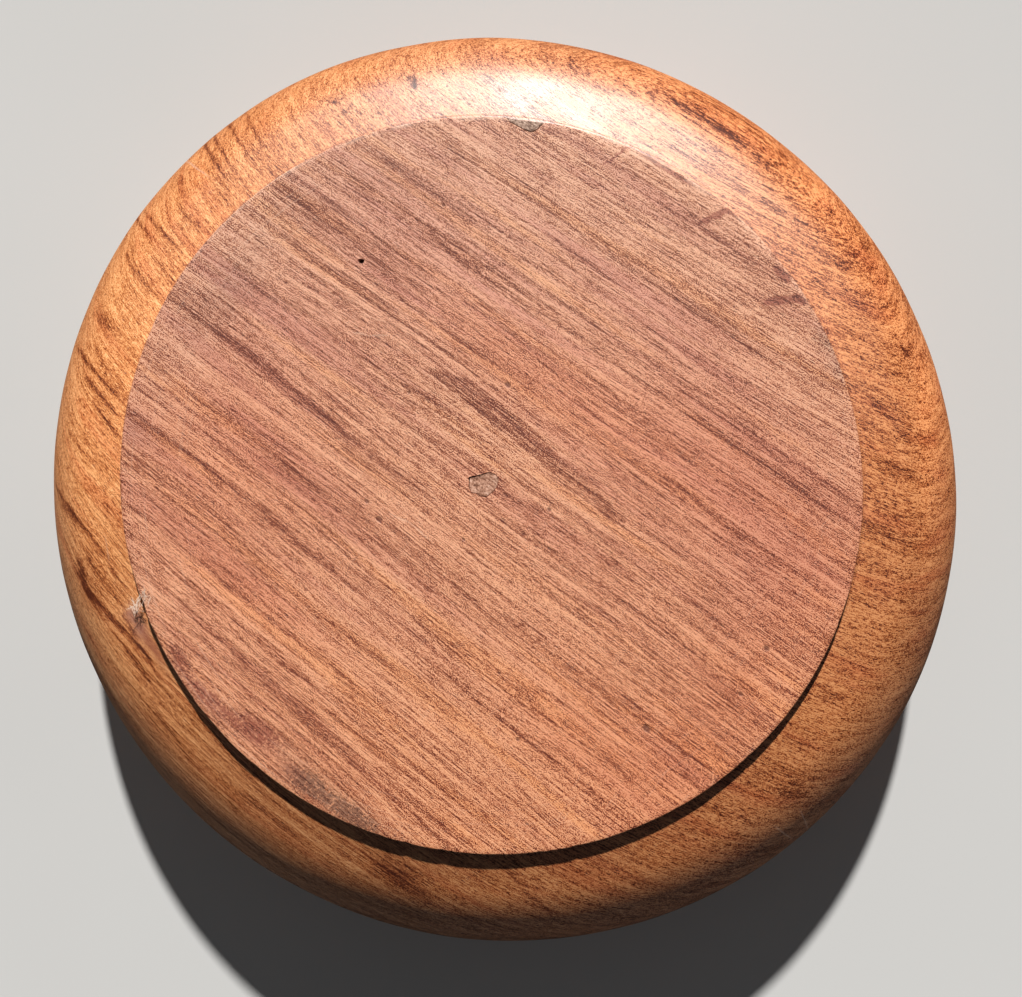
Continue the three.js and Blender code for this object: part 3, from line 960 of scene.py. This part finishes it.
# Spots in plan: (x, y, half size x, half size y, tilt in degrees, strength)
SHOULDER_PATCHES = [
    (-14.2, -66.6, 5.6, 2.4, -40, 0.34), (52.3, -51.5, 4.0, 2.4, -40, 0.20),
    (62.0, 40.0, 12.0, 5.0, -60, 0.16), (-69.0, -17.6, 2.6, 5.6, 40, 0.12),
    (-26.6, 66.3, 0.9, 0.7, 0, 0.34), (-24.1, 64.4, 0.6, 0.6, 0, 0.30),
    (-54.9, 53.9, 0.7, 0.9, 0, 0.24), (58.6, 47.1, 0.6, 0.4, 0, 0.50),
    (73.9, -22.2, 1.1, 1.6, 0, 0.30), (43.9, -55.8, 0.7, 0.5, 0, 0.40),
    (61.5, -44.2, 0.5, 0.5, 0, 0.40), (68.5, 3.5, 4.6, 12.0, 0, 0.10),
]
BRUISED = [(-59.8, -24.4, 1.3, 3.0, 22, 1.2), (-61.4, -22.6, 1.4, 1.1, 0, 0.8)]
RUBBED = [(-57.4, -27.8, 5.0, 1.1, -58, 1.1)]
CRUSHED = [(-58.0, -19.8, 1.3, 1.0, 20, 1.0)]


# ---------------------------------------------------------------------------------------------
# The timber
# ---------------------------------------------------------------------------------------------
def layer_band(wood, length, width, depth, detail, rough, offset):
    """Noise drawn out along the fibres and the growth layers."""
    return wood.tree.noise(wood.tree.xyz(
        wood.along.times_plus(1 / length, offset),
        wood.layer * (1 / width),
        wood.level.times_plus(1 / depth, offset * 0.7)), detail, rough)


def wood_fields(tree):
    """Places, masks and noises that the parts of the timber share."""
    wood = SimpleNamespace(tree=tree, point=tree.place())
    x, y, z = tree.split(wood.point)
    wood.x, wood.y = x, y
    wood.level = z - HEIGHT  # 0 on the foot, negative below it
    wood.along, wood.across = grain_axes(x, y)
    layer = wood.level.times_plus(LAYER_SLOPE, wood.across)
    layer = layer * wood.along.times_plus(LAYER_FAN, 1.0)
    warp = tree.stretched_noise((wood.along, 1 / 70), (layer, 1 / 14), (wood.level, 1 / 24),
                                detail=1.5, rough=0.5)
    wood.layer = layer + warp.centred(2.0)

    # radius in plan, and the cosine and sine of the angle round the axis
    wood.radial = tree.add("ShaderNodeVectorMath", {0: tree.xyz(x, y, 0.0)}, "Value",
                           operation="LENGTH")
    inverse = tree.math("DIVIDE", 1.0, wood.radial.at_least(1.0))
    wood.cos, wood.sin = x * inverse, y * inverse

    wood.bare = tree.mask("bare")
    wood.bands = {name: layer_band(wood, *band) for name, (band, _) in FIGURE_BANDS.items()}
    wood.narrow = wood.bands["narrow"]
    wood.hues = layer_band(wood, *HUE_BAND)
    wood.speckle = tree.noise(wood.point, scale=5.6, detail=1.0, rough=0.6)
    wood.ragged = tree.stretched_noise((wood.along, 1 / 2.6), (wood.across, 1 / 0.9),
                                       detail=3, rough=0.65)
    wood.side_jitter = tree.noise(wood.point.scaled(0.42), detail=2, rough=0.6)
    wood.near_top = wood.level.rise(-4.5, -1.0)
    # oiled outside of the bowl from the shoulder up
    wood.upper = wood.level.rise(-30, -20) * (1.0 - wood.bare) * (1.0 - tree.mask("hollow"))
    # short dark dashes along the fibres, dots where the grain runs out
    wood.pore = tree.dots(
        tree.xyz(wood.along * (1 / 2.2), wood.layer * (1 / 0.5), wood.level * (1 / 0.5)),
        scale=1, pick=0.30)
    return wood


def streak_darkness(wood):
    wobble = wood.tree.stretched_noise(
        (wood.along, 1 / 26), (wood.across, 1 / 4), (wood.level, 1 / 5), detail=1.5, rough=0.5)
    here = wood.level.times_plus(LAYER_SLOPE, wood.across) + wobble.centred(0.7)
    here = here * wood.along.times_plus(LAYER_FAN, 1.0)
    total = 0.0
    for across, along, half_length, half_width, strength in STREAKS:
        total = add_mark(
            SOFT_LINE, total, (wood.along, here),
            (1 / half_length, 0.0, -along / half_length),
            (0.0, 1 / half_width, -across * (1 + LAYER_FAN * along) / half_width), strength)
    return total


def flame_darkness(wood):
    """A dark tongue beside the middle of the foot, blunt at its far end along the grain."""
    along = wood.along
    tip = wood.tree.math("SQRT", along.fit(23.5, 21.2))
    high_edge = along.fit(-19.5, -13, to=(10.2, 12.5)).at_most(
        along.fit(-2, 24, to=(12.9, 8.9)))
    high_edge = high_edge.at_most(8.2 + tip * 1.5 + along.fit(21.2, 12, to=(0, 6)))
    low_edge = along.fit(-19.5, 22, to=(9.9, 7.3), clamp=False).at_least(
        8.3 - (tip * 1.1 + along.fit(21.2, 12, to=(0, 6))))
    here = wood.across + wood.ragged.centred(0.9)
    flame = (high_edge - here).rise(-0.10, 0.14) * (here - low_edge).rise(-0.10, 0.14)
    flame = flame * wood.near_top
    lines = wood.tree.stretched_noise((along, 1 / 22), (wood.across, 1 / 0.5),
                                      detail=2, rough=0.6)
    darkness = flame * lines.fit(0.36, 0.64, to=(0.60, 0.30))
    dark_side = (here - low_edge).rise(2.6, 0.6)
    return darkness * (along.fit(-6, 8, to=(1.13, 0.88)) * dark_side.fit(0, 1, to=(0.84, 1.04)))


def wood_figure(wood):
    """Lightness of the figure: 0 darkest, 1 lightest."""
    bare, narrow = wood.bare, wood.narrow
    figure = 0.59
    for name, (_, weight) in FIGURE_BANDS.items():
        figure = figure + wood.bands[name].centred(weight)
    figure = figure + wood.speckle.centred(1.05) * bare.between(0.92, 1.5)

    # a few narrow dark seams follow the layers everywhere
    seam = layer_band(wood, *SEAM_BAND).rise(0.665, 0.74)
    seam = seam * layer_band(wood, *SEAM_BREAKS).rise(0.42, 0.60)
    figure = figure - seam * 0.17

    stripe = narrow.fit(0.32, 0.68, to=(1.45, 0.55))
    figure = figure - streak_darkness(wood) * stripe * wood.near_top.fit(0, 1, to=(0.6, 1))
    figure = figure + soft_spots((wood.along, wood.across), AREAS) * bare

    # contrast about the middle tone: the oiled wood is calmer at -x and livelier at +x
    middle = 0.575
    contrast = bare.between(wood.cos.fit(-0.5, 0.6, to=(0.74, 1.10)), 1.30)
    figure = (figure - middle).times_plus(contrast, middle)
    figure = figure - flame_darkness(wood)

    # marks placed on the oiled shoulder
    jittered = (wood.x + wood.side_jitter.centred(1.5), wood.y + wood.side_jitter.centred(-1.1))
    marks = soft_lines(jittered, SHOULDER_LINES) + soft_spots(jittered, SHOULDER_PATCHES)
    strength = (narrow.fit(0.3, 0.7, to=(1.75, 1.15))
                * wood.cos.fit(-0.1, 0.4, to=(1.0, 0.60)))
    return figure - marks * wood.upper * strength


def bare_colour(wood, figure, specks):
    tree, along, across = wood.tree, wood.along, wood.across
    foot = (along, across)
    colour = tree.ramp(figure, paint_stops(BARE_TONES))

    # warm orange towards -y, dusty pink towards +y: partly the wood's tone, partly painted sheen
    # towards +y
    slant = along * (-1 / 60) + across * (1 / 60)
    pink_and_sheen = slant.fit(-1.3, 1.3)
    colour = colour.multiplied(tree.mix_colour(pink_and_sheen, (0.97, 0.86, 0.75), (1.0, 1.08, 1.20)))

    # orange and purple-brown bands follow the layers; tinted patches lie over them
    purple_band = wood.hues.rise(0.50, 0.68) * slant.fit(-1.2, 1.0, to=(0.35, 0.8))
    warm_band = wood.hues.rise(0.46, 0.32)
    rag = 0.45 + wood.narrow * 0.5 + wood.speckle * 0.6
    purple = (purple_band + soft_spots(foot, PURPLE_PATCHES) * rag).at_most(1.0)
    colour = colour.tinted(warm_band * 0.8, (1.04, 0.99, 0.84))
    colour = colour.tinted(purple, (0.86, 0.76, 0.83))
    for patches, tone in (
        (RED_PATCHES, (0.98, 0.84, 0.77)),
        (GREY_PATCHES, (0.78, 0.86, 0.94)),
    ):
        colour = colour.tinted((soft_spots(foot, patches) * rag).at_most(1.0), tone)

    # ragged smears and blotches near the edge
    jitter = tree.noise(wood.point, scale=0.9, detail=3, rough=0.65)
    smeared = (along + jitter.centred(1.3), across)
    blotch = soft_spots(smeared, BLOTCHES) + soft_lines(smeared, SMEARS)
    blotch = (blotch * wood.speckle.fit(0.35, 0.65, to=(0.80, 1.15))).rise(0.22, 0.62)
    colour = colour.tinted(blotch * 0.92, (0.54, 0.35, 0.34))

    cloud = tree.noise(wood.point, scale=2.1, detail=3, rough=0.72)
    stain = (soft_spots(foot, STAINS) * cloud.fit(0.38, 0.55, to=(0.22, 1.60))).at_most(1.0)
    stain_tone = tree.mix_colour(along.fit(-4, 6), (0.46, 0.31, 0.32), (0.34, 0.33, 0.36))
    colour = colour.tinted(stain, stain_tone)
    return colour.blend(specks * 0.8, paint(112, 56, 38))


def oiled_colour(wood, figure):
    """Golden at -x, deeper brown-orange towards +x and -y; the golden tint and the brightness
    round the bowl are partly painted sheen and painted light.
    """
    cos, sin = wood.cos, wood.sin
    colour = wood.tree.ramp(figure, paint_stops(OILED_TONES))
    colour = colour.tinted(wood.hues.rise(0.52, 0.70), (0.92, 0.78, 0.72))
    # paler golden tint towards -x: partly the wood's tone, partly painted sheen
    colour = colour.tinted(cos.fit(0.4, -0.9), (0.97, 1.20, 1.42))

    # brightness round the bowl: partly the wood's tone, partly painted light, brighter towards
    # the lit +y side and the sheen at -x and darker towards -y
    tone_and_light_gain = 1.34 + sin * 0.18 + (cos * cos).times_plus(2.0, -1.0) * 0.21 + cos * -0.27
    tone_and_light_gain = cos.rise(0.84, 0.98).times_plus(-0.10, tone_and_light_gain)
    # painted sheen on the outer shoulder towards +x +y, over paler wood
    sheen_lobe = (cos * 0.8 + sin * 0.6).rise(0.72, 0.98)  # outer shoulder towards +x +y
    tone_and_light_gain = tone_and_light_gain + sheen_lobe * wood.radial.rise(70, 77) * 0.26
    dark_lobe = (cos * -0.70 + sin * -0.71).rise(0.55, 0.97)  # towards -x -y
    tone_and_light_gain = tone_and_light_gain + dark_lobe * -0.24
    colour = colour.scaled(tone_and_light_gain)

    # paler beyond a faint crease in the outer shoulder at +x
    crease = ((wood.x + wood.side_jitter.centred(0.8)).rise(72.0, 74.2)
              * (wood.y.rise(-24, -10) * wood.y.rise(32, 18)))
    return colour.tinted(crease * 0.7, (1.22, 1.20, 1.18))


def scuffed(wood, colour, rings):
    """Pale scratches, lathe rings and fine lines across the grain."""
    jitter = wood.ragged.centred(0.35)
    scratches = soft_lines((wood.along, wood.across + jitter), FOOT_SCRATCHES) * wood.bare
    scratches = scratches + soft_lines((wood.x, wood.y + jitter), PALE_SCRATCHES) * wood.upper
    ring_zone = wood.radial.rise(44, 58) * wood.cos.fit(0.2, -0.6, to=(0.25, 1.0)) + 0.15
    ring_lines = rings.rise(0.60, 0.72) * ring_zone * wood.bare
    cross = wood.tree.stretched_noise((wood.along, 1 / 0.36), (wood.across, 1 / 6.5),
                                      detail=2, rough=0.5)
    cross_lines = cross.rise(0.60, 0.74) * wood.bare * wood.along.fit(10, 40, to=(0.5, 1.0))
    scuff = (ring_lines * 0.28 + cross_lines * 0.16 + scratches).at_most(0.8)
    return colour.blend(scuff, paint(246, 200, 172))


def edges_wear_and_painted_light(wood, colour):
    """Foot corner, the wall and groove beside it, cut surfaces and the bruise, with painted
    highlight and painted shade.
    """
    tree, cos, sin, plan = wood.tree, wood.cos, wood.sin, (wood.x, wood.y)
    speckle, upper = wood.speckle, wood.upper

    # the corner is painted pale towards +y, a painted highlight on its worn patches, and darkened
    # towards -y, painted shade on the side away from the light
    edge = tree.mask("edge")
    patchy = tree.stretched_noise((cos, 9.0), (sin, 9.0), (wood.radial, 0.9),
                                  detail=3, rough=0.65)
    lit_worn_patches = edge * patchy.rise(0.40, 0.62)
    colour = colour.blend(lit_worn_patches * sin.fit(0.3, 0.95, to=(0.0, 0.45)), paint(248, 214, 190))
    colour = colour.tinted(edge * sin.fit(0.2, -0.6, to=(0.0, 0.45)), (0.66, 0.58, 0.54))
    # painted shade on the wall of the foot step, darkest towards -x
    wall_shade = tree.mask("wall") * cos.fit(-0.80, -0.93, to=(0.55, 0.95))
    colour = colour.tinted(wall_shade, (0.36, 0.27, 0.22))

    # dark broken line in the groove
    groove = tree.bell((tree.mask("rel") + -GROOVE_RADIUS) * (1 / 0.14))
    broken = tree.stretched_noise((cos, 14.0), (sin, 14.0), detail=3, rough=0.6)
    groove = groove * upper * (broken.rise(0.43, 0.60) * sin.fit(-0.1, 0.6, to=(0.20, 0.62)))
    colour = colour.tinted(groove, (0.42, 0.30, 0.24))
    # the sunk cut surfaces in the foot are painted dark: painted shade in the plug's recess, the
    # hole and the chip
    colour = colour.blend(wood.recess, paint(66, 36, 26))

    bruise = (soft_spots(plan, BRUISED) * upper).at_most(1.0)
    colour = colour.blend(bruise * speckle.fit(0.35, 0.65, to=(0.3, 0.9)), paint(188, 134, 118))
    rubbed = (soft_spots(plan, RUBBED) * upper).at_most(1.0)
    colour = colour.blend(rubbed * wood.narrow.fit(0.35, 0.65, to=(0.45, 0.85)),
                          paint(164, 92, 66))
    crushed = soft_spots(plan, CRUSHED) * wood.bare
    colour = colour.blend(crushed * speckle.fit(0.35, 0.65, to=(0.1, 0.8)),
                          paint(226, 184, 156))
    return colour.blend(wood.torn, paint(238, 210, 188))


def timber():
    material, tree = new_material("turned_timber")
    wood = wood_fields(tree)
    wood.recess, wood.torn = tree.mask("recess"), tree.mask("torn")
    bare, pore, fibre = wood.bare, wood.pore, wood.bands["fibre"]
    rings = tree.stretched_noise((wood.radial, 1 / 0.30), (wood.cos, 2.2), (wood.sin, 2.2),
                                 detail=2, rough=0.6)
    speck_spots = [(along, across, radius * 1.1, radius * 0.8, 0, strength)
                   for along, across, radius, strength in SPECKS]
    specks = soft_spots((wood.along, wood.across), speck_spots).rise(0.15, 0.6)

    figure = wood_figure(wood)
    colour = oiled_colour(wood, figure).blend(bare, bare_colour(wood, figure, specks))
    colour = colour.tinted(pore * bare.fit(0, 1, to=(0.36, 0.45)), (0.42, 0.36, 0.34))
    colour = scuffed(wood, colour, rings)
    colour = edges_wear_and_painted_light(wood, colour)

    cloudy = tree.noise(wood.point, scale=0.11, detail=2, rough=0.5)
    rough_oiled = (0.515 + wood.narrow.centred(0.08) + fibre.centred(0.06) + pore * 0.12
                   + cloudy.centred(0.10))
    rough_bare = 0.60 + fibre.centred(0.10)
    rough = bare.between(rough_oiled, rough_bare)
    rough = rough.at_least(wood.torn * 0.85).at_least(wood.recess * 0.95)

    # heights in millimetres, on oiled and on bare wood
    relief = (
        fibre * bare.fit(0, 1, to=(0.030, 0.050))
        + wood.bands["fleck"] * bare.fit(0, 1, to=(0.012, 0.035))
        + pore * bare.fit(0, 1, to=(-0.018, -0.045))
        + rings * (bare * 0.020)
        + wood.speckle * bare.fit(0, 1, to=(0.022, 0.028))
        + specks * (bare * -0.08)
    )
    # dark open grain takes less shine than the dense wood round it
    dense = figure.fit(0.12, 0.50, to=(0.58, 1.0))
    tree.surface({
        "Base Color": colour,
        "Roughness": rough,
        "Specular IOR Level": bare.between(dense, 0.5),
        "Coat Weight": bare.between(dense * 0.60, 0.0),
        "Coat Roughness": 0.46,
    }, relief)
    return material


# ---------------------------------------------------------------------------------------------
# Pieces let into the foot
# ---------------------------------------------------------------------------------------------
def domed_prism(name, outline, bottom, top, unevenness, seed):
    """Closed piece with a finely meshed, uneven top at height top(x, y), rounded at its edge."""
    points = np.array(outline)
    centre = points.mean(0)
    bm = bmesh.new()
    rows = [[bm.verts.new((x * MM, y * MM, bottom * MM)) for x, y in points]]
    # (share of the distance from the centre, height against the top)
    rings = [(1.0, -0.10), (0.985, -0.03), (0.955, 0.0)]
    rings += [(share, 0.0) for share in np.linspace(0.9, 0.12, 6)]
    for share, rise in rings:
        row = []
        for point in points:
            x, y = centre + (point - centre) * share
            z = (top(x, y) + rise + unevenness * plane_noise(x * 2.2, y * 2.2, seed)
                 + unevenness * 0.5 * plane_noise(x * 6, y * 6, seed + 1))
            row.append(bm.verts.new((x * MM, y * MM, z * MM)))
        rows.append(row)
    tip = bm.verts.new((centre[0] * MM, centre[1] * MM, top(*centre) * MM))
    bm.faces.new(list(reversed(rows[0])))
    for lower, upper in zip(rows, rows[1:]):
        join_rings(bm, lower, upper)
    cap_with_tip(bm, rows[-1], tip)
    bmesh.ops.recalc_face_normals(bm, faces=bm.faces)
    ob = add_object(name, to_mesh(bm, name))
    smooth_shade(ob.data, 50)
    return ob


def put_rim_mask(mesh, outline, width):
    """Mask that is 1 on the outline and fades over the width."""
    plan = points_mm(mesh)[:, :2]
    corners = np.array(outline)
    distance = np.full(len(plan), 1e9)
    for start, end in zip(corners, np.roll(corners, -1, 0)):
        edge = end - start
        share = np.clip(((plan - start) @ edge) / max(edge @ edge, 1e-9), 0, 1)
        distance = np.minimum(distance, np.hypot(*(plan - start - share[:, None] * edge).T))
    put(mesh, "rim", np.exp(-((distance / width) ** 2)))


def inserted_wood(name, tones, rough, pit_strength, seed):
    """Matte wood or filler with blotches, pits and a dark rim where dirt has gathered."""
    material, tree = new_material(name)
    point = tree.place()
    x, y, z = tree.split(point)
    blotches = tree.noise(point.moved((seed, 0, 0)), scale=0.55, detail=3, rough=0.6)
    fine = tree.noise(point.moved((0, seed, 0)), scale=3.4, detail=3, rough=0.65)
    along, across = grain_axes(x, y)
    grain = tree.stretched_noise((along, 0.7), (across, 3.5), (z, 3.0), detail=2, rough=0.6)
    lightness = blotches * 0.60 + fine * 1.05 + grain * 0.80 + -0.70
    colour = tree.ramp(lightness, paint_stops(tones))
    pits = tree.dots(point, scale=2.6, pick=0.6)
    colour = colour.tinted(pits * pit_strength, (0.3, 0.27, 0.24))
    rim = tree.mask("rim") * x.fit(5.0, 8.0, to=(1.0, 0.35))
    colour = colour.tinted(rim * blotches.fit(0.38, 0.62, to=(0.75, 0.10)), (0.30, 0.25, 0.22))
    tree.surface({
        "Base Color": colour,
        "Roughness": fine.fit(0.2, 0.8, to=(rough - 0.1, rough + 0.1)),
        "Specular IOR Level": 0.3,
    }, relief=fine * 0.05 + grain * 0.04 + pits * -0.06)
    return material


def build_plug(outline):
    plug = domed_prism(
        "lathe_centre_plug", outline, PLUG_BOTTOM,
        lambda x, y: HEIGHT - 0.13 + 0.035 * x + 0.01 * y, unevenness=0.06, seed=43)
    put_rim_mask(plug.data, outline, width=0.22)
    tones = [(0.30, (118, 74, 56)), (0.46, (174, 124, 99)), (0.60, (208, 157, 132)),
             (0.80, (240, 196, 172))]
    plug.data.materials.append(
        inserted_wood("plug_wood", tones, rough=0.75, pit_strength=0.5, seed=3.0))
    return plug


def filler_outline():
    """Wedge just inside the chip, its outer side along the oval edge of the foot."""
    inner = [(3.66, 61.58)] + CHIP_INNER[1:-1] + [(10.35, 60.62)]
    start, end = math.atan2(60.95, 10.25), math.atan2(61.5, 3.75)
    outer = []
    for angle in np.linspace(start, end, 9):
        radius = FOOT_RADIUS * oval(FOOT_RADIUS, angle) - 0.14
        outer.append((radius * math.cos(angle), radius * math.sin(angle)))
    amounts = [-0.10] * len(inner) + [0.0] * len(outer)
    return refine(grow(inner + outer, amounts), 0.45, 0.05, 51)


def build_filler():
    outline = filler_outline()
    filler = domed_prism(
        "chip_filler", outline, FILLER_BOTTOM,
        lambda x, y: HEIGHT - 0.16 - 0.10 * max(0.0, (y - 60.2)) - 0.02 * abs(x - 7),
        unevenness=0.07, seed=53)
    put_rim_mask(filler.data, outline, width=0.28)
    tones = [(0.28, (80, 60, 49)), (0.43, (134, 105, 90)), (0.58, (182, 149, 130)),
             (0.78, (236, 206, 186))]
    filler.data.materials.append(
        inserted_wood("wood_filler", tones, rough=0.8, pit_strength=0.7, seed=7.0))
    return filler


# ---------------------------------------------------------------------------------------------
# Floor, light and camera (metres)
# ---------------------------------------------------------------------------------------------
def build_floor():
    bm = bmesh.new()
    bmesh.ops.create_circle(bm, cap_ends=True, segments=96, radius=6.0)
    ob = add_object("studio_floor", to_mesh(bm, "studio_floor"))
    ob.location = (0, 0, -0.0002)
    material, tree = new_material("studio_floor")
    mottle = tree.noise(tree.place(), scale=0.006, detail=3, rough=0.5)
    colour = tree.ramp(mottle, [(0.3, (0.50, 0.497, 0.49)), (0.7, (0.53, 0.527, 0.52))])
    tree.surface({"Base Color": colour, "Roughness": 0.9, "Specular IOR Level": 0.1})
    ob.data.materials.append(material)
    ob.visible_glossy = False  # the dull shine shows the lamp, not the pale floor
    return ob


def build_world():
    """Soft fill light; seen directly, the room is as pale as the floor."""
    world = bpy.data.worlds.new("studio")
    bpy.context.scene.world = world
    world.use_nodes = True
    nodes = world.node_tree.nodes
    tree = Tree(world.node_tree)
    fill = nodes["Background"]
    fill.inputs["Color"].default_value = (0.93, 0.96, 1.0, 1)
    fill.inputs["Strength"].default_value = 0.085
    backdrop = tree.add("ShaderNodeBackground", {"Color": (0.60, 0.60, 0.595, 1)})
    camera_ray = tree.add("ShaderNodeLightPath", output="Is Camera Ray")
    either = tree.add("ShaderNodeMixShader",
                      {0: camera_ray, 1: Value(tree, fill.outputs[0]), 2: backdrop})
    tree.feed(nodes["World Output"].inputs["Surface"], either)
    world.cycles_visibility.glossy = False


def build_key_light():
    azimuth, elevation = math.radians(85.7), math.radians(40.0)
    to_sun = Vector((
        math.cos(azimuth) * math.cos(elevation),
        math.sin(azimuth) * math.cos(elevation),
        math.sin(elevation),
    ))
    key = bpy.data.lights.new("key", "SUN")
    key.energy = 5.65
    key.angle = math.radians(2.2)
    key.color = (1.0, 0.985, 0.955)
    ob = add_object("key", key)
    ob.rotation_mode = "QUATERNION"
    ob.rotation_quaternion = to_sun.to_track_quat("Z", "Y")


def build_camera():
    """Looks down on the foot, with +y up and +x to the right."""
    camera = bpy.data.cameras.new("camera")
    camera.sensor_width = 36.0
    camera.lens = 45.7925636
    camera.clip_start = 0.01
    camera.clip_end = 50
    ob = add_object("camera", camera)
    # columns: the camera's right, up and backward directions
    axes = Matrix((
        (0.99692339, 0.0, 0.07838217),
        (0.00174247, 0.99975287, -0.02216208),
        (-0.07836280, 0.02223047, 0.99667702),
    ))
    position = Vector((0.0218702, -0.0074354, 0.26243))
    ob.matrix_world = Matrix.Translation(position) @ axes.to_4x4()
    scene = bpy.context.scene
    scene.camera = ob
    scene.view_settings.view_transform = "Standard"
    scene.view_settings.look = "None"
    scene.view_settings.exposure = 0.0


# ---------------------------------------------------------------------------------------------
# Assembly
# ---------------------------------------------------------------------------------------------
body = build_body()
plug_line = refine(PLUG_OUTLINE, 0.30, 0.05, 41)
cut_foot(body, plug_line)
first_torn = add_torn_fibres(body.data)
smooth_shade(body.data, 34)
put_body_masks(body.data, first_torn)
body.data.materials.clear()
body.data.materials.append(timber())
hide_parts("bowl_body")
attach(body, "root")

plug = build_plug(plug_line)
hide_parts("centre_plug")
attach(plug, "root")

filler = build_filler()
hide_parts("edge_filler")
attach(filler, "root")

build_floor()
build_world()
build_key_light()
build_camera()
